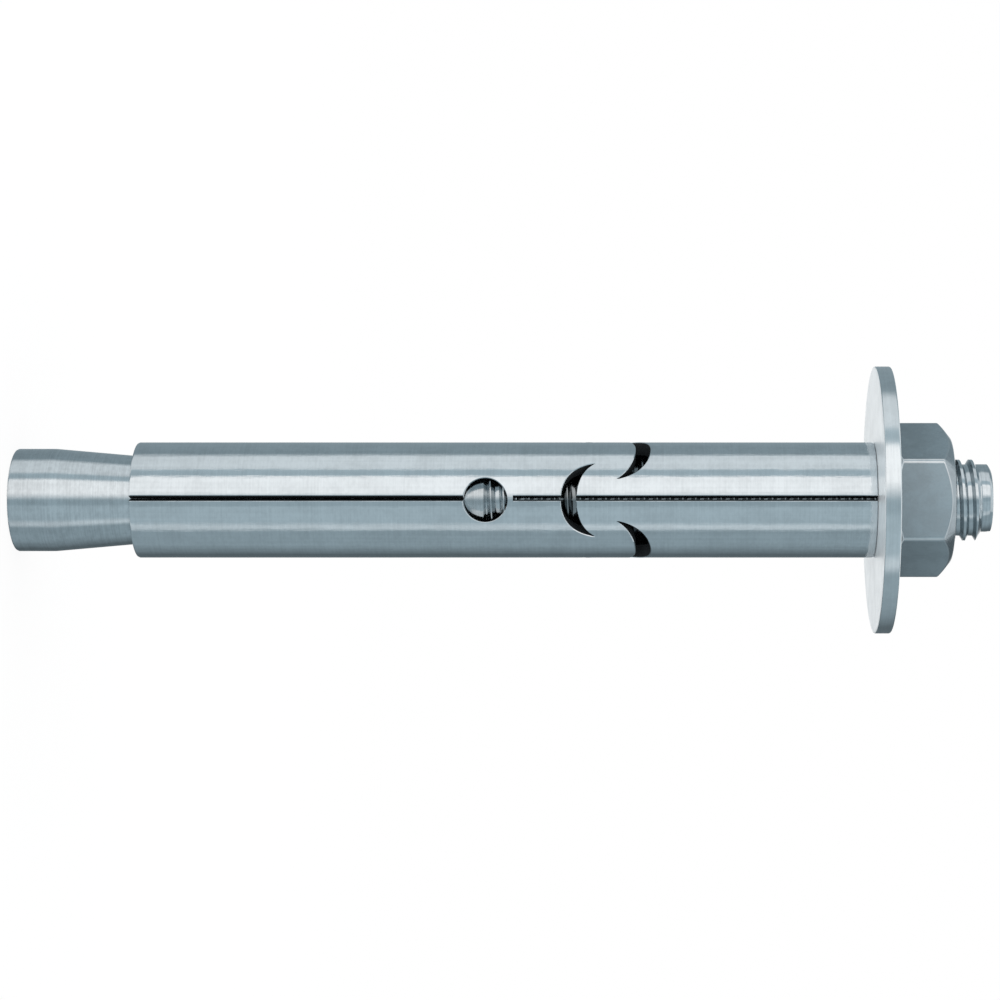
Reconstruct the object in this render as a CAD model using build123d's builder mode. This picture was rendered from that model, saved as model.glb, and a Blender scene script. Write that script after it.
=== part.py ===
from build123d import *
import math
import os

# A sleeve anchor: a bolt with an expansion cone at one end and a rolled thread at the other, and on
# it a rolled sheet sleeve, a large plain washer and a hexagon nut. All sizes are in millimetres.
# The anchor stands on the flat face of its cone end. +Z runs along its axis towards the nut, the
# origin is the middle of that face, and the slit and the round hole of the sleeve face -Y.

os.makedirs("parts", exist_ok=True)

# Thread and what follows from it
thread_dia = 11.7
thread_rise = 0.42
thread_clearance = 0.05
thread_length = 68.0
pilot_drop = 1.1
pilot_length = 1.7
pilot_edge = 0.7
stud_standout = 5.2

# Sleeve, rolled from sheet
sleeve_clearance = 0.35
sleeve_wall = 1.8
sleeve_length = 101.8
sleeve_edge = 0.3
hole_dia = 6.0
hole_from_cone_end = 48.4
slit_width = 0.7
slit_turn = 2.0
slit_bridge = 0.8

# Crescent cuts through the sleeve, in two rings that curve away from each other
crescents_per_ring = 3
crescent_centre = 64.8
crescent_reach = 6.1
crescent_width = 2.05
crescent_tip_gap = 1.65
crescent_half_angle = 38.5

# Expansion cone
cone_lip = 0.9
cone_land = 5.3
cone_half_angle = 5.0
cone_clearance = 0.1
cone_edge = 0.3

# Washer and nut
washer_dia = 37.0
washer_clearance = 0.65
washer_thickness = 2.2
washer_edge = 0.2
nut_across_flats = 18.7
nut_height = 8.7
nut_corner_radius = 0.8
nut_end_dia = 17.2
nut_end_angle = 45.0
nut_seat_dia = 17.8
nut_seat_angle = 30.0
nut_thread_edge = 0.6

# Radii that several pieces share
thread_radius = thread_dia / 2
shank_radius = thread_radius - thread_rise
pilot_radius = thread_radius - pilot_drop
bore_radius = thread_radius + sleeve_clearance
sleeve_radius = bore_radius + sleeve_wall
cone_radius = bore_radius + cone_lip
nut_bore_radius = thread_radius + thread_clearance

# Heights along the axis, from the face of the cone end
cone_slope = math.tan(math.radians(cone_half_angle))
sleeve_at = cone_land + (cone_radius - bore_radius + cone_clearance) / cone_slope
shank_at = cone_land + (cone_radius - shank_radius) / cone_slope
hole_at = sleeve_at + hole_from_cone_end
washer_at = sleeve_at + sleeve_length
nut_at = washer_at + washer_thickness
nut_end_at = nut_at + nut_height
bolt_end_at = nut_end_at + stud_standout
pilot_at = bolt_end_at - pilot_length
thread_at = pilot_at - thread_length


def facing(height, distance, turn):
    """A plane that looks away from the axis, with x along the axis and y round it.

    The turn is in degrees round the axis from -Y towards -X.
    """
    angle = math.radians(turn)
    outwards = Vector(-math.sin(angle), -math.cos(angle), 0)
    return Plane(Vector(0, 0, height) + outwards * distance, x_dir=(0, 0, 1), z_dir=outwards)


# Bolt: cone end, taper, plain shank, thread at its full diameter, and pilot
with BuildPart() as cone_bolt:
    with BuildSketch(Plane.XZ):
        with BuildLine():
            Polyline(
                (0, 0),
                (cone_radius - cone_edge, 0),
                (cone_radius, cone_edge),
                (cone_radius, cone_land),
                (shank_radius, shank_at),
                (shank_radius, thread_at - thread_rise),
                (thread_radius, thread_at),
                (thread_radius, pilot_at - pilot_drop),
                (pilot_radius, pilot_at),
                (pilot_radius, bolt_end_at - pilot_edge),
                (pilot_radius - pilot_edge, bolt_end_at),
                (0, bolt_end_at),
                close=True,
            )
        make_face()
    revolve(axis=Axis.Z)
cone_bolt.part.label = "cone_bolt"
export_step(cone_bolt.part, "parts/cone_bolt.step")

# Sleeve: a tube that starts as soon as it clears the cone, with a slit, a hole and crescents
cut_over = sleeve_wall / 2
cut_from = bore_radius - cut_over
cut_through = sleeve_wall + 2 * cut_over
hole_top = hole_at + hole_dia / 2
with BuildPart() as expansion_sleeve:
    with BuildSketch(Plane.XZ):
        with BuildLine():
            Polyline(
                (bore_radius, sleeve_at),
                (sleeve_radius - sleeve_edge, sleeve_at),
                (sleeve_radius, sleeve_at + sleeve_edge),
                (sleeve_radius, washer_at - sleeve_edge),
                (sleeve_radius - sleeve_edge, washer_at),
                (bore_radius, washer_at),
                close=True,
            )
        make_face()
    revolve(axis=Axis.Z)
    with BuildSketch(facing(hole_at, cut_from, 0)):
        Circle(hole_dia / 2)
    extrude(amount=cut_through, mode=Mode.SUBTRACT)
    # The slit runs from end to end, but for the short bridge where the sheet's edges touch
    with BuildSketch(facing(hole_at, cut_from, slit_turn)):
        Rectangle(sleeve_length, slit_width, align=(Align.MAX, Align.CENTER))
    with BuildSketch(facing(hole_top + slit_bridge, cut_from, slit_turn)):
        Rectangle(sleeve_length, slit_width, align=(Align.MIN, Align.CENTER))
    extrude(amount=cut_through, mode=Mode.SUBTRACT)
    for ring, side in enumerate((-1, 1)):
        tip = side * crescent_tip_gap
        crown = side * crescent_reach
        hollow = side * (crescent_reach - crescent_width)
        for copy in range(crescents_per_ring):
            turn = (copy + ring / 2) * 360 / crescents_per_ring
            for distance in (cut_from, cut_from + cut_through):
                half_chord = distance * math.tan(math.radians(crescent_half_angle))
                with BuildSketch(facing(sleeve_at + crescent_centre, distance, turn)):
                    with BuildLine():
                        ThreePointArc((tip, -half_chord), (crown, 0), (tip, half_chord))
                        ThreePointArc((tip, half_chord), (hollow, 0), (tip, -half_chord))
                    make_face()
            loft(ruled=True, mode=Mode.SUBTRACT)
expansion_sleeve.part.label = "expansion_sleeve"
export_step(expansion_sleeve.part, "parts/expansion_sleeve.step")

# Washer: a punched disc with broken edges
with BuildPart() as washer:
    with BuildSketch(Plane.XY.offset(washer_at)):
        Circle(washer_dia / 2)
        Circle(thread_radius + washer_clearance, mode=Mode.SUBTRACT)
    extrude(amount=washer_thickness)
    chamfer(washer.edges().filter_by(GeomType.CIRCLE), length=washer_edge)
washer.part.label = "washer"
export_step(washer.part, "parts/washer.step")

# Nut: a hexagon bar with rounded corners, turned down at both ends, one flat to the front
corner_distance = nut_across_flats / math.sqrt(3)
end_step = (corner_distance - nut_end_dia / 2) * math.tan(math.radians(nut_end_angle))
seat_step = (corner_distance - nut_seat_dia / 2) * math.tan(math.radians(nut_seat_angle))
with BuildPart() as hex_nut:
    with BuildSketch(Plane.XY.offset(nut_at)) as hexagon:
        RegularPolygon(radius=corner_distance, side_count=6)
        fillet(hexagon.vertices(), radius=nut_corner_radius)
    extrude(amount=nut_height)
    with BuildSketch(Plane.XZ):
        with BuildLine():
            Polyline(
                (nut_bore_radius + nut_thread_edge, nut_at),
                (nut_seat_dia / 2, nut_at),
                (corner_distance, nut_at + seat_step),
                (corner_distance, nut_end_at - end_step),
                (nut_end_dia / 2, nut_end_at),
                (nut_bore_radius + nut_thread_edge, nut_end_at),
                (nut_bore_radius, nut_end_at - nut_thread_edge),
                (nut_bore_radius, nut_at + nut_thread_edge),
                close=True,
            )
        make_face()
    revolve(axis=Axis.Z, mode=Mode.INTERSECT)
hex_nut.part.label = "hex_nut"
export_step(hex_nut.part, "parts/hex_nut.step")
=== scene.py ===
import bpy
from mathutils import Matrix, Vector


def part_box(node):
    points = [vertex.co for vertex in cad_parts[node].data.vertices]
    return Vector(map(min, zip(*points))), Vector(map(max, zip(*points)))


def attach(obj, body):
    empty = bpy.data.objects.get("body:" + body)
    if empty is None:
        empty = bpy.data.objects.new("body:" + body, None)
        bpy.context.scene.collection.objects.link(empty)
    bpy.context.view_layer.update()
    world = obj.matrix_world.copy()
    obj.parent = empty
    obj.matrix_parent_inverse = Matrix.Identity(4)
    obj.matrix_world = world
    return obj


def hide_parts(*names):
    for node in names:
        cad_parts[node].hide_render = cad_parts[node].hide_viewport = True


bl_info = {
    "name": "Sleeve anchor",
    "version": (1, 0, 0),
    "blender": (4, 5, 0),
    "location": "3D View > Sidebar > Anchor",
    "description": "Models a zinc plated sleeve anchor around its CAD frame, with a small studio",
    "category": "Add Mesh",
}

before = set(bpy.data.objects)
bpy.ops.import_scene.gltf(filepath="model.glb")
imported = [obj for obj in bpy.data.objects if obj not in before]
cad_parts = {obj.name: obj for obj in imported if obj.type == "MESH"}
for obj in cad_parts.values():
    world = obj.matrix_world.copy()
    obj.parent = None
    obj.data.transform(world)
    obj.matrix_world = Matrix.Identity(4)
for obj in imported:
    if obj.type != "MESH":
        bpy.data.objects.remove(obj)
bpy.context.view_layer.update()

import math

import bpy

BOLT_LOW, BOLT_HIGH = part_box("cone_bolt")
SLEEVE_LOW, SLEEVE_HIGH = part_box("expansion_sleeve")
WASHER_LOW, WASHER_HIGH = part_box("washer")
NUT_LOW, NUT_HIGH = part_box("hex_nut")

MM = 0.001
FULL_TURN = 2 * math.pi
# Points closer than this are one point
WELD = 2e-6
# Where the middle point of a rounded edge lies, as a share of the edge's size
EDGE_MIDDLE = 0.3
# Half of a metric thread's angle
THREAD_FLANK = math.radians(30)
# Sides of the nut, and crescents round the sleeve
SIDES = 6
CRESCENTS = 6
# Stretch of the noise over which the plating's colour and its gloss go from dark to light
SHADE_RANGE = (0.42, 0.57)
GLOSS_RANGE = (0.35, 0.65)
CLOUD_SCALE = 260.0


def length(name, description, default):
    """A size property in metres."""
    return bpy.props.FloatProperty(
        name=name, description=description, default=default, min=0.0,
        unit="LENGTH", subtype="DISTANCE", precision=6)


def colour(name, description, default):
    """A colour property."""
    return bpy.props.FloatVectorProperty(
        name=name, description=description, default=default, size=3, min=0.0, max=1.0,
        subtype="COLOR")


def turn(name, description, degrees):
    """An angle property."""
    return bpy.props.FloatProperty(
        name=name, description=description, default=math.radians(degrees), subtype="ANGLE",
        unit="ROTATION")


class AnchorBoltSettings(bpy.types.PropertyGroup):
    """Sizes and finish of the threaded bolt with its cone."""

    cone_radius: length("Cone radius", "Radius of the straight end of the cone", 7.1 * MM)
    cone_land: length("Cone land", "Length of the straight end of the cone", 5.3 * MM)
    cone_edge: length("Cone edge", "Rounding of the cone's end face", 0.3 * MM)
    cone_slope: turn("Cone slope", "Slope of the cone's flank to the axis", 5.0)
    shank_radius: length("Shank radius", "Radius of the plain shank", 5.43 * MM)
    thread_at: length("Thread start", "Height at which the thread is full", 64.93 * MM)
    pitch: length("Pitch", "Height of one turn of the thread", 1.75 * MM)
    crest_radius: length("Crest radius", "Radius over the thread's crests", 5.8 * MM)
    end_crest: length("End crest radius", "Radius over the last, lower crests", 5.62 * MM)
    root_radius: length("Root radius", "Radius at the bottom of the thread", 4.95 * MM)
    crest_flat: length("Crest flat", "Width of the thread's crest", 0.16 * MM)
    crest_height: length("Crest height", "Height of a crest on the +X side", 66.23 * MM)
    pilot_at: length("Pilot start", "Height at which the plain pilot starts", 132.93 * MM)
    pilot_radius: length("Pilot radius", "Radius of the plain pilot", 4.69 * MM)
    pilot_shift: length("Pilot shift", "How far rolling pushed the pilot off the axis", 0.28 * MM)
    end_radius: length("End radius", "Radius of the flat on the thread end", 4.3 * MM)
    colour: colour("Colour", "Zinc plating of the bolt", (0.67, 0.715, 0.74))
    # Painted shade: the bolt is darker where the sleeve covers it
    inner_shade_colour: colour("Inner colour", "The bolt where the sleeve covers it",
                         (0.62, 0.66, 0.68))
    # Painted shade: the thread flanks that face the cone are darker
    flank_shade_colour: colour("Flank colour", "Thread flanks that face the cone", (0.36, 0.4, 0.42))


class AnchorSleeveSettings(bpy.types.PropertyGroup):
    """Sizes and finish of the rolled sheet sleeve."""

    bore_radius: length("Bore radius", "Inner radius of the rolled sheet", 6.2 * MM)
    end_edge: length("End edge", "Rounding of the sleeve's ends", 0.3 * MM)
    cut_edge: length("Cut edge", "Broken edge round the punched openings", 0.1 * MM)
    hole_radius: length("Hole radius", "Radius of the round hole", 3.0 * MM)
    hole_up: length("Hole height", "Height of the hole above the sleeve's end", 48.4 * MM)
    slit_width: length("Slit width", "Gap between the edges of the sheet", 0.7 * MM)
    slit_closing: length("Slit closing", "How far each edge closes in towards the bore", 0.22 * MM)
    slit_shut: length("Slit shut", "The same below the hole, where the edges meet", 0.345 * MM)
    slit_turn: turn("Slit turn", "How far the slit lies beside the hole's middle", 1.7)
    bridge: length("Bridge", "Where the sheet's edges touch above the hole", 0.8 * MM)
    crescent_up: length("Crescent height", "Middle of the two rings of crescents", 64.8 * MM)
    crescent_reach: length("Crescent reach", "From that middle to a crown", 6.1 * MM)
    crescent_width: length("Crescent width", "Width of a crescent at its crown", 2.05 * MM)
    crescent_gap: length("Crescent gap", "From that middle to the tips", 1.65 * MM)
    crescent_span: turn("Crescent span", "Half of the turn that a crescent covers", 38.5)
    crescent_tip: length("Crescent tip", "Half width of a crescent's blunt tips", 0.13 * MM)
    colour: colour("Colour", "Zinc plating of the sleeve", (0.7, 0.745, 0.77))
    # Painted shade: a near black, dull bore and cut walls stand in for the shade inside the sleeve
    inner_shade_colour: colour("Inner colour", "Dull bore and cut walls of the sleeve",
                         (0.03, 0.035, 0.038))


class AnchorWasherSettings(bpy.types.PropertyGroup):
    """Sizes and finish of the large washer."""

    bore_radius: length("Bore radius", "Radius of the washer's hole", 6.5 * MM)
    edge: length("Edge", "Rounding of the punched edges", 0.22 * MM)
    colour: colour("Colour", "Zinc plating of the washer's rim", (0.74, 0.78, 0.8))
    face_colour: colour("Face colour", "Satin faces of the washer", (0.86, 0.905, 0.925))


class AnchorNutSettings(bpy.types.PropertyGroup):
    """Sizes and finish of the hexagon nut."""

    across_flats: length("Across flats", "Width over two flats", 18.7 * MM)
    corner: length("Corner", "Rounding of the six corners", 0.8 * MM)
    end_radius: length("End radius", "Radius of the chamfered end face", 8.6 * MM)
    end_drop: length("End drop", "How far the end face falls to its rim", 0.38 * MM)
    end_slope: turn("End slope", "Slope of the end chamfer", 39.0)
    seat_radius: length("Seat radius", "Radius of the face on the washer", 8.9 * MM)
    seat_slope: turn("Seat slope", "Slope of the chamfer at the washer", 30.0)
    edge: length("Edge", "Wear of the hexagon's edges", 0.14 * MM)
    sink_radius: length("Countersink", "Radius of the countersunk thread ends", 6.35 * MM)
    thread_play: length("Thread play", "Gap between the nut's thread and the bolt's", 0.05 * MM)
    colour: colour("Colour", "Zinc plating of the nut", (0.6, 0.655, 0.685))
    # Rubbed wear and painted highlight: the nut's edges, chamfer rims and seat are lighter and
    # glossier
    edge_wear_and_highlight_colour: colour("Edge colour", "Nut where its edges are rubbed bright",
                        (0.65, 0.68, 0.7))
    # Painted shade: the nut's end chamfer is darker
    end_shade_colour: colour("End colour", "Turned chamfer at the end of the nut", (0.47, 0.51, 0.535))


class AnchorStudioSettings(bpy.types.PropertyGroup):
    """Camera, floor and light."""

    camera_away: length("Camera distance", "From the camera to the anchor's axis", 367.4 * MM)
    camera_up: length("Camera height", "Height of the camera", 86.9 * MM)
    lens: bpy.props.FloatProperty(
        name="Lens", description="Focal length in millimetres", default=95.4, min=1.0)
    shift: bpy.props.FloatProperty(
        name="Shift", description="Sideways shift of the lens", default=-0.1453)
    tent_radius: length("Tent radius", "Radius of the light tent", 0.45)
    tent_low: bpy.props.FloatProperty(
        name="Tent foot", description="Height of the tent's lower edge", default=-1.6,
        unit="LENGTH", subtype="DISTANCE")
    tent_high: length("Tent top", "Height of the tent's grey top", 0.75)
    lamp_size: length("Lamp size", "Side of the soft lamp", 1.4)
    lamp_energy: bpy.props.FloatProperty(
        name="Lamp energy", description="Power of the soft lamp in watts", default=5.0, min=0.0)
    floor_size: length("Floor size", "Side of the floor", 6.0)
    floor_colour: colour("Floor colour", "Pale floor", (0.93, 0.935, 0.94))


def only(piece):
    """Selects one object and makes it the active one."""
    bpy.ops.object.select_all(action="DESELECT")
    piece.select_set(True)
    bpy.context.view_layer.objects.active = piece


def line_of(name, points):
    """An object with one line of edges through points (radius, height)."""
    bpy.ops.object.select_all(action="DESELECT")
    radius, height = points[0]
    bpy.ops.mesh.primitive_plane_add(size=MM, location=(radius, 0, height))
    piece = bpy.context.object
    piece.name = piece.data.name = name
    bpy.ops.object.transform_apply(location=True, rotation=True, scale=True)
    bpy.ops.object.mode_set(mode="EDIT")
    bpy.ops.mesh.select_mode(type="VERT")
    bpy.ops.mesh.select_all(action="SELECT")
    bpy.ops.mesh.merge(type="CENTER")
    for next_radius, next_height in points[1:]:
        step = (next_radius - radius, 0, next_height - height)
        bpy.ops.mesh.extrude_vertices_move(TRANSFORM_OT_translate={"value": step})
        radius, height = next_radius, next_height
    bpy.ops.object.mode_set(mode="OBJECT")
    return piece


def weld(piece, closer_than=WELD):
    """Merges points that lie closer than this and turns every face outwards."""
    only(piece)
    bpy.ops.object.mode_set(mode="EDIT")
    bpy.ops.mesh.select_all(action="SELECT")
    bpy.ops.mesh.remove_doubles(threshold=closer_than)
    bpy.ops.mesh.normals_make_consistent(inside=False)
    bpy.ops.object.mode_set(mode="OBJECT")


def turned(name, points, steps):
    """A turned solid: the line through the points, spun once round the axis."""
    piece = line_of(name, points)
    bpy.ops.object.mode_set(mode="EDIT")
    bpy.ops.mesh.select_all(action="SELECT")
    bpy.ops.mesh.spin(steps=steps, angle=FULL_TURN, center=(0, 0, 0), axis=(0, 0, 1))
    bpy.ops.object.mode_set(mode="OBJECT")
    weld(piece)
    return piece


def apply_modifier(piece, kind, **values):
    """Adds one modifier with these values and applies it."""
    only(piece)
    modifier = piece.modifiers.new(kind.lower(), kind)
    for key, value in values.items():
        setattr(modifier, key, value)
    bpy.ops.object.modifier_apply(modifier=modifier.name)


def combine(piece, other, operation):
    """Boolean of piece with another object, which is then removed."""
    apply_modifier(piece, "BOOLEAN", operation=operation, object=other, solver="MANIFOLD")
    # The solver leaves an empty material slot
    piece.data.materials.clear()
    bpy.data.objects.remove(other)


def cut_flat(piece, height, keep_above):
    """Cuts the piece at a height, closes the cut and keeps one side of it."""
    only(piece)
    bpy.ops.object.mode_set(mode="EDIT")
    bpy.ops.mesh.select_all(action="SELECT")
    bpy.ops.mesh.bisect(
        plane_co=(0, 0, height), plane_no=(0, 0, 1), use_fill=True,
        clear_inner=keep_above, clear_outer=not keep_above, threshold=1e-9)
    bpy.ops.object.mode_set(mode="OBJECT")


def threaded_rod(name, bolt, low, high, play, steps):
    """A right-handed thread from one height to another, in step with the bolt's crests."""
    crest = bolt.crest_radius + play
    root = bolt.root_radius + play
    pitch = bolt.pitch
    flank = (crest - root) * math.tan(THREAD_FLANK)
    half_crest = bolt.crest_flat / 2
    rounding = 0.06 * MM
    # Points of one turn, measured from the middle of a crest
    one_turn = [
        (crest, -half_crest),
        (crest, half_crest),
        (crest - rounding * 0.6, half_crest + rounding * 0.35),
        (root + rounding, half_crest + flank - rounding * 0.5),
        (root + rounding * 0.25, half_crest + flank + rounding * 0.4),
        (root, half_crest + flank + rounding * 1.6),
        (root, pitch - half_crest - flank - rounding * 1.6),
        (root + rounding * 0.25, pitch - half_crest - flank - rounding * 0.4),
        (root + rounding, pitch - half_crest - flank + rounding * 0.5),
        (crest - rounding * 0.6, pitch - half_crest - rounding * 0.35),
        (crest, pitch - half_crest),
    ]
    turns_below = math.ceil((bolt.crest_height - low) / pitch) + 2
    start = bolt.crest_height - turns_below * pitch
    turns = math.ceil((high - start) / pitch) + 2
    rod = line_of(name, [(radius, start + up) for radius, up in one_turn])
    apply_modifier(
        rod, "SCREW", axis="Z", angle=FULL_TURN, screw_offset=pitch, iterations=turns,
        steps=steps, render_steps=steps, use_merge_vertices=True, merge_threshold=WELD)
    weld(rod)
    # Its faces are slightly twisted, and the cuts that follow need flat ones
    apply_modifier(rod, "TRIANGULATE")
    cut_flat(rod, low, True)
    cut_flat(rod, high, False)
    weld(rod)
    return rod


def smooth(piece, degrees):
    """Smooth shading that keeps flats flat, with edges sharper than the angle left sharp."""
    only(piece)
    bpy.ops.object.shade_smooth_by_angle(angle=math.radians(degrees))
    apply_modifier(piece, "WEIGHTED_NORMAL", keep_sharp=True)


def arc(first, crown, last, count):
    """Points on the arc from first over crown to last, which lie level across."""
    half = (last[0] - first[0]) / 2
    rise = crown - first[1]
    radius = (half * half + rise * rise) / (2 * rise)
    centre = crown - radius
    points = []
    for index in range(count + 1):
        across = first[0] + (last[0] - first[0]) * (1 - math.cos(math.pi * index / count)) / 2
        inside = max(radius * radius - across * across, 0)
        up = centre + math.copysign(math.sqrt(inside), radius)
        points.append((across, up))
    return points


def punch(name, upper, lower, at, sleeve, radial, closing=0.0):
    """A tool that cuts one opening through the sleeve's wall and breaks its outer edge.

    upper and lower are the opening's two sides, from left to right with shared or facing ends,
    as (across, height) on the plane that touches the sleeve. Its sides close in by closing at
    the bore.
    """
    outer = SLEEVE_HIGH.x
    edge = sleeve.cut_edge
    count = len(upper)
    outline = upper + lower[::-1]
    total = len(outline)
    normals = []
    for index in range(total):
        before = outline[index - 1]
        after = outline[(index + 1) % total]
        back, ahead = 1, 1
        while math.dist(before, outline[index]) < 1e-9:
            back += 1
            before = outline[index - back]
        while math.dist(after, outline[index]) < 1e-9:
            ahead += 1
            after = outline[(index + ahead) % total]
        run, climb = after[0] - before[0], after[1] - before[1]
        size = math.hypot(run, climb)
        normals.append((-climb / size, run / size))
    rings = (
        (sleeve.bore_radius - 0.02 * MM, -closing),
        (outer - edge, 0),
        (outer + edge, 2 * edge),
        (outer * 1.12, 2 * edge),
    )
    points = []
    for radius, growth in rings:
        for (across, up), (out_across, out_up) in zip(outline, normals):
            across += out_across * growth
            up += out_up * growth
            angle = math.atan(across / outer) if radial else math.asin(across / radius)
            angle += at
            points.append((-radius * math.sin(angle), -radius * math.cos(angle), up))
    faces = []
    for level in range(len(rings) - 1):
        base = level * total
        for index in range(total):
            following = (index + 1) % total
            faces.append((base + index, base + following, base + total + following,
                          base + total + index))
    for base in (0, (len(rings) - 1) * total):
        for index in range(count - 1):
            faces.append((base + index, base + index + 1, base + total - 2 - index,
                          base + total - 1 - index))
    mesh = bpy.data.meshes.new(name)
    mesh.from_pydata(points, [], faces)
    tool = bpy.data.objects.new(name, mesh)
    bpy.context.scene.collection.objects.link(tool)
    weld(tool)
    return tool


def steel(name, base, dark, marks, roughness, roughness_spread, metallic=1.0, fade=None):
    """Zinc plated steel whose light and dark spots run from its colour to a darker share of it.

    marks are (scale across, scale along, depth, share of the shade). fade is (height, height,
    share) and paints shade along the height: the colour rises from that share at the first height
    to all of it at the second.
    """
    material = bpy.data.materials.new(name)
    material.use_nodes = True
    nodes, links = material.node_tree.nodes, material.node_tree.links
    nodes.clear()
    output = nodes.new("ShaderNodeOutputMaterial")
    shader = nodes.new("ShaderNodeBsdfPrincipled")
    shader.inputs["Metallic"].default_value = metallic
    if metallic < 1:
        shader.inputs["Specular IOR Level"].default_value = 0.1 * metallic
    links.new(shader.outputs[0], output.inputs[0])
    place = nodes.new("ShaderNodeTexCoord")

    cloud = nodes.new("ShaderNodeTexNoise")
    cloud.inputs["Scale"].default_value = CLOUD_SCALE
    cloud.inputs["Detail"].default_value = 5.0
    cloud.inputs["Roughness"].default_value = 0.6
    links.new(place.outputs["Object"], cloud.inputs["Vector"])
    shade = cloud.outputs["Fac"]

    bump_before = None
    for across, along, depth, share in marks:
        spread = nodes.new("ShaderNodeMapping")
        spread.vector_type = "POINT"
        spread.inputs["Scale"].default_value = (across, across, along)
        links.new(place.outputs["Object"], spread.inputs["Vector"])
        mark = nodes.new("ShaderNodeTexNoise")
        mark.inputs["Scale"].default_value = 1.0
        mark.inputs["Detail"].default_value = 2.0
        mark.inputs["Roughness"].default_value = 0.55
        links.new(spread.outputs[0], mark.inputs["Vector"])
        bump = nodes.new("ShaderNodeBump")
        bump.inputs["Strength"].default_value = 1.0
        bump.inputs["Distance"].default_value = depth
        links.new(mark.outputs["Fac"], bump.inputs["Height"])
        if bump_before is not None:
            links.new(bump_before.outputs[0], bump.inputs["Normal"])
        bump_before = bump
        mix = nodes.new("ShaderNodeMix")
        mix.data_type = "FLOAT"
        mix.inputs["Factor"].default_value = share
        links.new(shade, mix.inputs["A"])
        links.new(mark.outputs["Fac"], mix.inputs["B"])
        shade = mix.outputs["Result"]
    if bump_before is not None:
        links.new(bump_before.outputs[0], shader.inputs["Normal"])

    ramp = nodes.new("ShaderNodeValToRGB")
    ramp.color_ramp.elements[0].position = SHADE_RANGE[0]
    ramp.color_ramp.elements[0].color = (*[part * dark for part in base], 1)
    ramp.color_ramp.elements[1].position = SHADE_RANGE[1]
    ramp.color_ramp.elements[1].color = (*base, 1)
    links.new(shade, ramp.inputs[0])
    if fade:
        height = nodes.new("ShaderNodeSeparateXYZ")
        links.new(place.outputs["Object"], height.inputs[0])
        share = nodes.new("ShaderNodeMapRange")
        share.inputs["From Min"].default_value = fade[0]
        share.inputs["From Max"].default_value = fade[1]
        share.inputs["To Min"].default_value = fade[2]
        links.new(height.outputs["Z"], share.inputs["Value"])
        faded = nodes.new("ShaderNodeVectorMath")
        faded.operation = "SCALE"
        links.new(ramp.outputs[0], faded.inputs[0])
        links.new(share.outputs[0], faded.inputs["Scale"])
        links.new(faded.outputs[0], shader.inputs["Base Color"])
    else:
        links.new(ramp.outputs[0], shader.inputs["Base Color"])

    rough = nodes.new("ShaderNodeMapRange")
    rough.inputs["From Min"].default_value = GLOSS_RANGE[0]
    rough.inputs["From Max"].default_value = GLOSS_RANGE[1]
    rough.inputs["To Min"].default_value = roughness + roughness_spread
    rough.inputs["To Max"].default_value = roughness - roughness_spread
    links.new(shade, rough.inputs["Value"])
    links.new(rough.outputs[0], shader.inputs["Roughness"])
    return material


def finish_piece(piece, materials, body, node):
    """Gives a piece its materials and body, and hides the CAD node that it stands for."""
    for material in materials:
        piece.data.materials.append(material)
    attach(piece, body)
    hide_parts(node)


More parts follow.
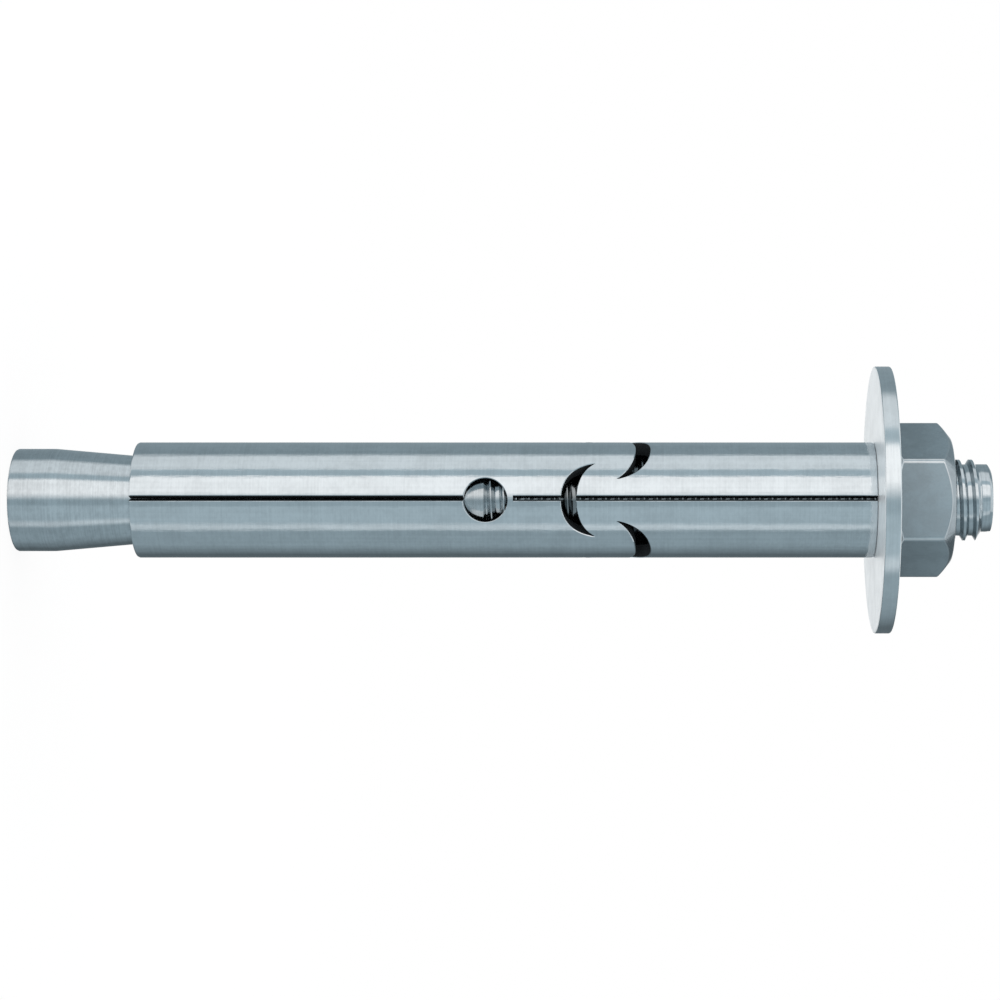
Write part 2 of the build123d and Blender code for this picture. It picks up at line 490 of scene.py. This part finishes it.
class ANCHOR_OT_bolt(bpy.types.Operator):
    """Models the bolt: cone, shank, rolled thread and pilot"""

    bl_idname = "anchor.bolt"
    bl_label = "Bolt"

    def execute(self, context):
        bolt = context.scene.anchor_bolt
        slope = math.tan(bolt.cone_slope)
        shank_at = bolt.cone_land + (bolt.cone_radius - bolt.shank_radius) / slope
        edge = bolt.cone_edge
        core = bolt.root_radius - 0.3 * MM
        run_out = 0.9 * MM
        inside_at = SLEEVE_LOW.z + MM
        body = turned("anchor_bolt", [
            (0, BOLT_LOW.z),
            (bolt.cone_radius - edge, BOLT_LOW.z),
            (bolt.cone_radius - edge * EDGE_MIDDLE, edge * EDGE_MIDDLE),
            (bolt.cone_radius, edge),
            (bolt.cone_radius, bolt.cone_land - 0.4 * MM),
            (bolt.cone_radius - 0.008 * MM, bolt.cone_land),
            (bolt.cone_radius - 0.4 * MM * slope, bolt.cone_land + 0.4 * MM),
            (bolt.cone_radius - (inside_at - bolt.cone_land) * slope, inside_at),
            (bolt.shank_radius, shank_at),
            (bolt.shank_radius, bolt.thread_at - 0.15 * MM),
            (bolt.shank_radius - 0.1 * MM, bolt.thread_at),
            (core, bolt.thread_at + 0.35 * MM),
            (core, bolt.pilot_at - 1.6 * MM),
            (0, bolt.pilot_at - 1.6 * MM),
        ], 160)
        thread = threaded_rod("thread", bolt, bolt.thread_at - 0.6 * MM,
                              bolt.pilot_at + 0.65 * MM, 0, 96)
        rise = bolt.crest_radius - bolt.shank_radius
        combine(thread, turned("thread_ends", [
            (0, bolt.thread_at - 2 * MM),
            (bolt.shank_radius - 0.05 * MM, bolt.thread_at - 2 * MM),
            (bolt.shank_radius - 0.05 * MM, bolt.thread_at - 0.3 * MM),
            (bolt.crest_radius + 0.2 * MM, bolt.thread_at + run_out + rise),
            (bolt.crest_radius + 0.2 * MM, NUT_HIGH.z - 2 * MM),
            (bolt.end_crest, NUT_HIGH.z),
            (bolt.end_crest, bolt.pilot_at - 0.4 * MM),
            (bolt.pilot_radius - 0.1 * MM, bolt.pilot_at + 0.26 * MM),
            (0, bolt.pilot_at + 0.26 * MM),
        ], 96), "INTERSECT")
        combine(body, thread, "UNION")
        pilot = turned("pilot", [
            (0, bolt.pilot_at - 0.7 * MM),
            (bolt.pilot_radius - 0.7 * MM, bolt.pilot_at - 0.7 * MM),
            (bolt.pilot_radius, bolt.pilot_at - 0.15 * MM),
            (bolt.pilot_radius, BOLT_HIGH.z - 0.5 * MM),
            (bolt.pilot_radius - 0.04 * MM, BOLT_HIGH.z - 0.42 * MM),
            (bolt.end_radius + 0.05 * MM, BOLT_HIGH.z - 0.04 * MM),
            (bolt.end_radius - 0.08 * MM, BOLT_HIGH.z),
            (0, BOLT_HIGH.z),
        ], 96)
        for point in pilot.data.vertices:
            if point.co.z < BOLT_HIGH.z - 0.2 * MM:
                point.co.x -= bolt.pilot_shift
        combine(body, pilot, "UNION")
        weld(body)
        smooth(body, 32)
        for face in body.data.polygons:
            # Painted shade: the bolt under the sleeve takes the darker inner material
            if inside_at - 0.01 * MM < face.center.z < WASHER_LOW.z:
                face.material_index = 1
            # Painted shade: thread flanks beyond the washer that face the cone take the darker
            # flank material
            elif face.center.z > WASHER_LOW.z and face.normal.z < -0.6:
                face.material_index = 2
        marks = [
            (60, 6000, 2.0e-6, 0.5), (1500, 60, 2.0e-6, 0.2), (900, 900, 4.0e-6, 0.2),
            (1300, 2600, 6.0e-6, 0.2),
        ]
        finish_piece(body, [
            steel("bolt_plating", bolt.colour, 0.8, marks, 0.11, 0.03),
            # Painted shade under the sleeve, at half of it again from 72 mm up
            steel("bolt_inside_painted_shade", bolt.inner_shade_colour, 0.75, marks, 0.16, 0.04,
                  fade=(72 * MM, 69 * MM, 0.5)),
            # Painted shade on the thread flanks that face the cone
            steel("thread_flanks_painted_shade", bolt.flank_shade_colour, 0.8, marks, 0.2, 0.04),
        ], "bolt", "cone_bolt")
        return {"FINISHED"}


class ANCHOR_OT_sleeve(bpy.types.Operator):
    """Models the sleeve: rolled sheet with slit, round hole and two rings of crescents"""

    bl_idname = "anchor.sleeve"
    bl_label = "Sleeve"

    def execute(self, context):
        sleeve = context.scene.anchor_sleeve
        low, high, outer = SLEEVE_LOW.z, SLEEVE_HIGH.z, SLEEVE_HIGH.x
        inner, edge = sleeve.bore_radius, sleeve.end_edge
        corner = edge * EDGE_MIDDLE
        tube = turned("anchor_sleeve", [
            (inner, low + corner),
            (inner + corner, low),
            (outer - edge, low),
            (outer - corner, low + corner),
            (outer, low + edge),
            (outer, high - edge),
            (outer - corner, high - corner),
            (outer - edge, high),
            (inner + corner, high),
            (inner, high - corner),
            (inner, low + corner),
        ], 288)
        hole_at = low + sleeve.hole_up
        across, half = sleeve.hole_radius, sleeve.slit_width / 2
        circle = []
        half_steps = 32
        for index in range(half_steps + 1):
            angle = math.pi * (1 - index / half_steps)
            circle.append((across * math.cos(angle), across * math.sin(angle)))
        tools = [punch("hole", [(x, hole_at + z) for x, z in circle],
                       [(x, hole_at - z) for x, z in circle], 0, sleeve, False)]
        for start, end, closing in (
            (low - MM, hole_at, sleeve.slit_shut),
            (hole_at + across + sleeve.bridge, high + MM, sleeve.slit_closing),
        ):
            tools.append(punch("slit", [(-half, end), (half, end)],
                               [(-half, start), (half, start)], sleeve.slit_turn, sleeve, False,
                               closing))
        middle = low + sleeve.crescent_up
        chord = outer * math.tan(sleeve.crescent_span)
        for copy in range(CRESCENTS):
            side = -1 if copy % 2 == 0 else 1
            tip = middle + side * sleeve.crescent_gap
            crown = middle + side * sleeve.crescent_reach
            hollow = middle + side * (sleeve.crescent_reach - sleeve.crescent_width)
            far = tip + side * sleeve.crescent_tip
            near = tip - side * sleeve.crescent_tip
            outside = arc((-chord, far), crown, (chord, far), 40)
            inside = arc((-chord, near), hollow, (chord, near), 40)
            upper, lower = (outside, inside) if side > 0 else (inside, outside)
            at = math.radians(360 / CRESCENTS * copy)
            tools.append(punch("crescent", upper, lower, at, sleeve, True))
        for tool in tools:
            combine(tube, tool, "DIFFERENCE")
        weld(tube)
        smooth(tube, 30)
        # Painted shade: the bore and the cut walls, but for those beside the round hole, take the
        # near black inner material
        for face in tube.data.polygons:
            centre = face.center
            away = math.hypot(centre.x, centre.y)
            end_face = min(centre.z - low, high - centre.z) < 0.15 * MM
            beside_hole = math.hypot(centre.x, centre.z - hole_at) < across + 0.05 * MM
            if away > outer - 0.12 * MM or end_face:
                continue
            face.material_index = 2 if beside_hole and away > inner + 0.1 * MM else 1
        finish_piece(tube, [
            steel("sleeve_plating", sleeve.colour, 0.86, [
                (300, 50, 3.0e-5, 0.1), (1500, 300, 1.0e-5, 0.2), (1900, 16, 6.0e-6, 0.3),
                (1300, 2400, 6.0e-6, 0.22), (90, 4200, 2.0e-6, 0.18),
            ], 0.075, 0.02),
            # Painted shade: near black bore and cut walls
            steel("sleeve_inside_painted_shade", sleeve.inner_shade_colour, 0.7, [(900, 900, 2.0e-6, 0.4)], 0.5, 0.08,
                  metallic=0.0),
            steel("hole_wall", sleeve.colour, 0.86, [(900, 900, 4.0e-6, 0.3)], 0.22, 0.04),
        ], "sleeve", "expansion_sleeve")
        return {"FINISHED"}


class ANCHOR_OT_washer(bpy.types.Operator):
    """Models the large washer with its punched edges"""

    bl_idname = "anchor.washer"
    bl_label = "Washer"

    def execute(self, context):
        washer = context.scene.anchor_washer
        low, high = WASHER_LOW.z, WASHER_HIGH.z
        outer = min(WASHER_HIGH.x, -WASHER_LOW.x)
        inner, edge = washer.bore_radius, washer.edge
        soft = edge * EDGE_MIDDLE
        ring = turned("anchor_washer", [
            (inner, low + edge),
            (inner + soft, low + soft),
            (inner + edge, low),
            (outer - edge, low),
            (outer - soft, low + soft),
            (outer, low + edge),
            (outer, high - edge),
            (outer - soft, high - soft),
            (outer - edge, high),
            (inner + edge, high),
            (inner + soft, high - soft),
            (inner, high - edge),
            (inner, low + edge),
        ], 288)
        smooth(ring, 50)
        for face in ring.data.polygons:
            face.material_index = 1 if abs(face.normal.z) > 0.9 else 0
        finish_piece(ring, [
            steel("washer_rim", washer.colour, 0.9,
                  [(900, 900, 4.0e-6, 0.25), (120, 3000, 1.5e-6, 0.3)], 0.14, 0.03),
            steel("washer_faces", washer.face_colour, 0.92,
                  [(900, 900, 6.0e-6, 0.3), (2600, 2600, 2.5e-6, 0.2)], 0.34, 0.04,
                  metallic=0.5),
        ], "washer", "washer")
        return {"FINISHED"}


class ANCHOR_OT_nut(bpy.types.Operator):
    """Models the hexagon nut with its chamfers and thread"""

    bl_idname = "anchor.nut"
    bl_label = "Nut"

    def execute(self, context):
        bolt, nut = context.scene.anchor_bolt, context.scene.anchor_nut
        low, high = NUT_LOW.z, NUT_HIGH.z
        corner_out = nut.across_flats / math.sqrt(3)
        bpy.ops.object.select_all(action="DESELECT")
        bpy.ops.mesh.primitive_cylinder_add(
            vertices=SIDES, radius=corner_out, depth=high - low, location=(0, 0, (low + high) / 2),
            rotation=(0, 0, math.radians(30)))
        piece = bpy.context.object
        piece.name = piece.data.name = "anchor_nut"
        bpy.ops.object.transform_apply(location=True, rotation=True, scale=True)
        for edge in piece.data.edges:
            first, second = (piece.data.vertices[index].co for index in edge.vertices)
            edge.select = abs(first.z - second.z) > (high - low) / 2
        for face in piece.data.polygons:
            face.select = False
        bpy.ops.object.mode_set(mode="EDIT")
        bpy.ops.mesh.select_mode(type="EDGE")
        bpy.ops.mesh.bevel(offset=nut.corner * math.tan(math.radians(30)), segments=5,
                           profile=0.5, affect="EDGES")
        bpy.ops.object.mode_set(mode="OBJECT")
        beyond = corner_out + MM
        seat_rise = (beyond - nut.seat_radius) * math.tan(nut.seat_slope)
        end_rise = (beyond - nut.end_radius) * math.tan(nut.end_slope)
        combine(piece, turned("nut_chamfers", [
            (0, low),
            (nut.seat_radius, low),
            (beyond, low + seat_rise),
            (beyond, high - nut.end_drop - end_rise),
            (nut.end_radius, high - nut.end_drop),
            (nut.sink_radius + 0.1 * MM, high),
            (0, high),
        ], 180), "INTERSECT")
        weld(piece, 0.03 * MM)
        apply_modifier(piece, "BEVEL", width=nut.edge, segments=2, limit_method="ANGLE",
                       angle_limit=math.radians(24), use_clamp_overlap=False)
        inner = bolt.root_radius + 0.12 * MM
        sink = nut.sink_radius - inner
        thread = threaded_rod("nut_thread", bolt, low - MM, high + MM, nut.thread_play, 72)
        combine(thread, turned("nut_bore", [
            (0, low - 0.5 * MM),
            (nut.sink_radius + 0.5 * MM, low - 0.5 * MM),
            (inner, low + sink),
            (inner, high - sink),
            (nut.sink_radius + 0.5 * MM, high + 0.5 * MM),
            (0, high + 0.5 * MM),
        ], 96), "UNION")
        combine(piece, thread, "DIFFERENCE")
        weld(piece)
        smooth(piece, 30)
        flat_turns = [math.radians(360 / SIDES * side - 90) for side in range(SIDES)]
        # The chamfer's faces, by the height part of their normals
        chamfer_low, chamfer_high = 0.72, 0.82
        for face in piece.data.polygons:
            if math.hypot(face.center.x, face.center.y) < nut.sink_radius + 0.2 * MM:
                continue
            normal = face.normal
            beside = max(math.cos(math.atan2(normal.y, normal.x) - at) for at in flat_turns)
            corner = abs(normal.z) < 0.1 and beside < math.cos(math.radians(8))
            end = 0.1 <= normal.z < chamfer_low or chamfer_high < normal.z < 0.97
            seat = -0.83 < normal.z <= -0.1 or -0.985 < normal.z < -0.89
            # Rubbed wear and painted highlight on the corners, the end chamfer's rims and the seat
            face.material_index = 1 if corner or end or seat else 0
            # Painted shade on the end chamfer
            if chamfer_low <= normal.z <= chamfer_high:
                face.material_index = 2
        finish_piece(piece, [
            steel("nut_plating", nut.colour, 0.86,
                  [(700, 700, 4.0e-6, 0.3), (2600, 2600, 1.5e-6, 0.15)], 0.2, 0.04,
                  # Painted shade: the nut is darker towards the washer
                  fade=(NUT_LOW.z, NUT_HIGH.z - MM, 0.7)),
            # Rubbed wear and painted highlight
            steel("nut_edges_wear_and_highlight", nut.edge_wear_and_highlight_colour, 0.88, [(900, 900, 3.0e-6, 0.3)], 0.12, 0.03),
            # Painted shade on the end chamfer
            steel("nut_end_painted_shade", nut.end_shade_colour, 0.88, [(900, 900, 4.0e-6, 0.3)], 0.2, 0.04),
        ], "nut", "hex_nut")
        return {"FINISHED"}


# The panels of the light tent: from and to, as turns in degrees from the camera towards -X, and how
# light each is. They are the same at every height, with soft edges between them.
TENT_PANELS = (
    (-180, -175, 1.0),  # white back
    (-165, -140, 0.15),  # dark cloth
    (-100, -65, 0.4),  # grey cloth
    (-57, -53, 0.75),  # narrow strip light
    (-45, -15, 0.55),  # reflector under the anchor
    (-10, 0, 0.45),  # open front, where the camera stands
    (15, 45, 1.15),  # large soft box
    (50, 60, 0.55),  # gap between the boxes
    (65, 95, 0.85),  # second soft box
    (105, 165, 0.35),  # dark cloth
    (175, 180, 1.0),  # white back
)
# Dark cloth is a little blue, and the tent is a little darker towards its foot
DARK_TINT = (0.8, 1.0, 1.1)
FOOT_AT = -0.25
FOOT_LIGHT = 0.85


def tent_material():
    """Cloth of the light tent, with its panels round the anchor."""
    material = bpy.data.materials.new("tent_cloth")
    material.use_nodes = True
    nodes, links = material.node_tree.nodes, material.node_tree.links
    nodes.clear()
    output = nodes.new("ShaderNodeOutputMaterial")
    glow = nodes.new("ShaderNodeEmission")
    links.new(glow.outputs[0], output.inputs[0])
    place = nodes.new("ShaderNodeTexCoord")
    centre = nodes.new("ShaderNodeMapping")
    # Mirrored and turned, so that the gradient runs from behind over +X, -Y and -X
    centre.inputs["Scale"].default_value = (1, -1, 1)
    centre.inputs["Rotation"].default_value = (0, 0, math.radians(-90))
    links.new(place.outputs["Object"], centre.inputs["Vector"])
    around = nodes.new("ShaderNodeTexGradient")
    around.gradient_type = "RADIAL"
    links.new(centre.outputs[0], around.inputs["Vector"])

    brightest = max(light for _, _, light in TENT_PANELS)
    ramp = nodes.new("ShaderNodeValToRGB")
    stops = ramp.color_ramp.elements
    edges = [(turn_at, light) for start, end, light in TENT_PANELS for turn_at in (start, end)]
    for index, (turn_at, light) in enumerate(edges):
        position = (turn_at + 180) / 360
        stop = stops.new(position) if index > 1 else stops[index]
        stop.position = position
        dark = max(0.0, min(1.0, (1 - light) / 0.5))
        shade = light / brightest
        stop.color = tuple(shade * (1 + (tint - 1) * dark) for tint in DARK_TINT) + (1,)
    links.new(around.outputs["Fac"], ramp.inputs[0])
    links.new(ramp.outputs[0], glow.inputs["Color"])

    height = nodes.new("ShaderNodeSeparateXYZ")
    links.new(place.outputs["Object"], height.inputs[0])
    level = nodes.new("ShaderNodeMapRange")
    level.inputs["From Min"].default_value = FOOT_AT
    level.inputs["From Max"].default_value = 0.0
    level.inputs["To Min"].default_value = brightest * FOOT_LIGHT
    level.inputs["To Max"].default_value = brightest
    links.new(height.outputs["Z"], level.inputs["Value"])
    links.new(level.outputs[0], glow.inputs["Strength"])
    material.cycles.emission_sampling = "NONE"
    return material


def plain_glow(name, shade):
    """A plain light cloth."""
    material = bpy.data.materials.new(name)
    material.use_nodes = True
    nodes, links = material.node_tree.nodes, material.node_tree.links
    nodes.clear()
    output = nodes.new("ShaderNodeOutputMaterial")
    glow = nodes.new("ShaderNodeEmission")
    glow.inputs["Color"].default_value = (*shade, 1)
    links.new(glow.outputs[0], output.inputs[0])
    material.cycles.emission_sampling = "NONE"
    return material


def seen_by_camera(nodes, links):
    """1 for rays from the camera, off metal and through glass, and 0 for the light on the floor."""
    path = nodes.new("ShaderNodeLightPath")
    first = nodes.new("ShaderNodeMath")
    first.operation = "MAXIMUM"
    links.new(path.outputs["Is Camera Ray"], first.inputs[0])
    links.new(path.outputs["Is Glossy Ray"], first.inputs[1])
    second = nodes.new("ShaderNodeMath")
    second.operation = "MAXIMUM"
    links.new(first.outputs[0], second.inputs[0])
    links.new(path.outputs["Is Transmission Ray"], second.inputs[1])
    return second.outputs[0]


def floor_material(shade):
    """Pale floor that keeps the shadow near the anchor and fades into the backdrop."""
    material = bpy.data.materials.new("floor_paper")
    material.use_nodes = True
    nodes, links = material.node_tree.nodes, material.node_tree.links
    nodes.clear()
    output = nodes.new("ShaderNodeOutputMaterial")
    paper = nodes.new("ShaderNodeBsdfDiffuse")
    paper.inputs["Color"].default_value = (*shade, 1)
    glow = nodes.new("ShaderNodeEmission")
    place = nodes.new("ShaderNodeTexCoord")
    away = nodes.new("ShaderNodeVectorMath")
    away.operation = "LENGTH"
    links.new(place.outputs["Object"], away.inputs[0])
    fade = nodes.new("ShaderNodeMapRange")
    fade.inputs["From Min"].default_value = 0.05
    fade.inputs["From Max"].default_value = 0.5
    fade.inputs["To Min"].default_value = 0.88
    fade.inputs["To Max"].default_value = 1.0
    links.new(away.outputs["Value"], fade.inputs["Value"])
    share = nodes.new("ShaderNodeMath")
    share.operation = "MULTIPLY"
    links.new(fade.outputs[0], share.inputs[1])
    links.new(seen_by_camera(nodes, links), share.inputs[0])
    mix = nodes.new("ShaderNodeMixShader")
    links.new(share.outputs[0], mix.inputs[0])
    links.new(paper.outputs[0], mix.inputs[1])
    links.new(glow.outputs[0], mix.inputs[2])
    links.new(mix.outputs[0], output.inputs[0])
    return material


class ANCHOR_OT_stage(bpy.types.Operator):
    """Sets up the floor, the light tent, the lamp, the world and the camera"""

    bl_idname = "anchor.stage"
    bl_label = "Stage"

    def execute(self, context):
        studio = context.scene.anchor_studio
        bpy.ops.object.select_all(action="DESELECT")
        bpy.ops.mesh.primitive_plane_add(size=studio.floor_size, location=(0, 0, 0))
        floor = bpy.context.object
        floor.name = "floor"
        floor.data.materials.append(floor_material(studio.floor_colour))
        floor.visible_glossy = False

        wall = line_of("tent_wall", [(studio.tent_radius, studio.tent_low),
                                     (studio.tent_radius, studio.tent_high)])
        bpy.ops.object.mode_set(mode="EDIT")
        bpy.ops.mesh.select_all(action="SELECT")
        bpy.ops.mesh.spin(steps=96, angle=FULL_TURN, center=(0, 0, 0), axis=(0, 0, 1))
        bpy.ops.object.mode_set(mode="OBJECT")
        weld(wall)
        wall.data.materials.append(tent_material())
        bpy.ops.object.select_all(action="DESELECT")
        bpy.ops.mesh.primitive_circle_add(
            vertices=96, radius=studio.tent_radius, fill_type="NGON",
            location=(0, 0, studio.tent_high))
        top = bpy.context.object
        top.name = "tent_top"
        top.data.materials.append(plain_glow("tent_top_cloth", (0.74, 0.8, 0.83)))
        for cloth in (wall, top):
            cloth.visible_camera = False
            cloth.visible_diffuse = False
            cloth.visible_transmission = False
            cloth.visible_shadow = False

        bpy.ops.object.light_add(type="AREA", location=(-0.5, -0.35, 1.5))
        lamp = bpy.context.object
        lamp.name = "soft_lamp"
        lamp.data.shape = "RECTANGLE"
        lamp.data.size = studio.lamp_size
        lamp.data.size_y = studio.lamp_size
        lamp.data.energy = studio.lamp_energy
        lamp.rotation_euler = (math.radians(-13), math.radians(-18), 0)
        lamp.visible_camera = False

        world = bpy.data.worlds.new("studio")
        context.scene.world = world
        world.use_nodes = True
        nodes, links = world.node_tree.nodes, world.node_tree.links
        nodes.clear()
        output = nodes.new("ShaderNodeOutputWorld")
        backdrop = nodes.new("ShaderNodeBackground")
        backdrop.inputs["Color"].default_value = (1, 1, 1, 1)
        links.new(backdrop.outputs[0], output.inputs[0])

        bpy.ops.object.camera_add(
            location=(0, -studio.camera_away, studio.camera_up),
            rotation=(math.radians(90), math.radians(-90), 0))
        camera = bpy.context.object
        camera.name = "camera"
        camera.data.lens = studio.lens
        camera.data.shift_x = studio.shift
        camera.data.clip_start = 0.01
        context.scene.camera = camera
        context.scene.view_settings.view_transform = "Standard"
        return {"FINISHED"}


class ANCHOR_PT_panel(bpy.types.Panel):
    """Lists the anchor's operators"""

    bl_label = "Sleeve anchor"
    bl_idname = "ANCHOR_PT_panel"
    bl_space_type = "VIEW_3D"
    bl_region_type = "UI"
    bl_category = "Anchor"

    def draw(self, context):
        layout = self.layout
        for operator in OPERATORS:
            layout.operator(operator.bl_idname)


OPERATORS = (ANCHOR_OT_bolt, ANCHOR_OT_sleeve, ANCHOR_OT_washer, ANCHOR_OT_nut, ANCHOR_OT_stage)
SETTINGS = {
    "anchor_bolt": AnchorBoltSettings,
    "anchor_sleeve": AnchorSleeveSettings,
    "anchor_washer": AnchorWasherSettings,
    "anchor_nut": AnchorNutSettings,
    "anchor_studio": AnchorStudioSettings,
}


def register():
    for kind in (*SETTINGS.values(), *OPERATORS, ANCHOR_PT_panel):
        bpy.utils.register_class(kind)
    for name, kind in SETTINGS.items():
        setattr(bpy.types.Scene, name, bpy.props.PointerProperty(type=kind))


def unregister():
    for name in SETTINGS:
        delattr(bpy.types.Scene, name)
    for kind in (ANCHOR_PT_panel, *OPERATORS, *SETTINGS.values()):
        bpy.utils.unregister_class(kind)


def main():
    register()
    bpy.ops.anchor.bolt()
    bpy.ops.anchor.sleeve()
    bpy.ops.anchor.washer()
    bpy.ops.anchor.nut()
    bpy.ops.anchor.stage()


if __name__ == "__main__":
    main()
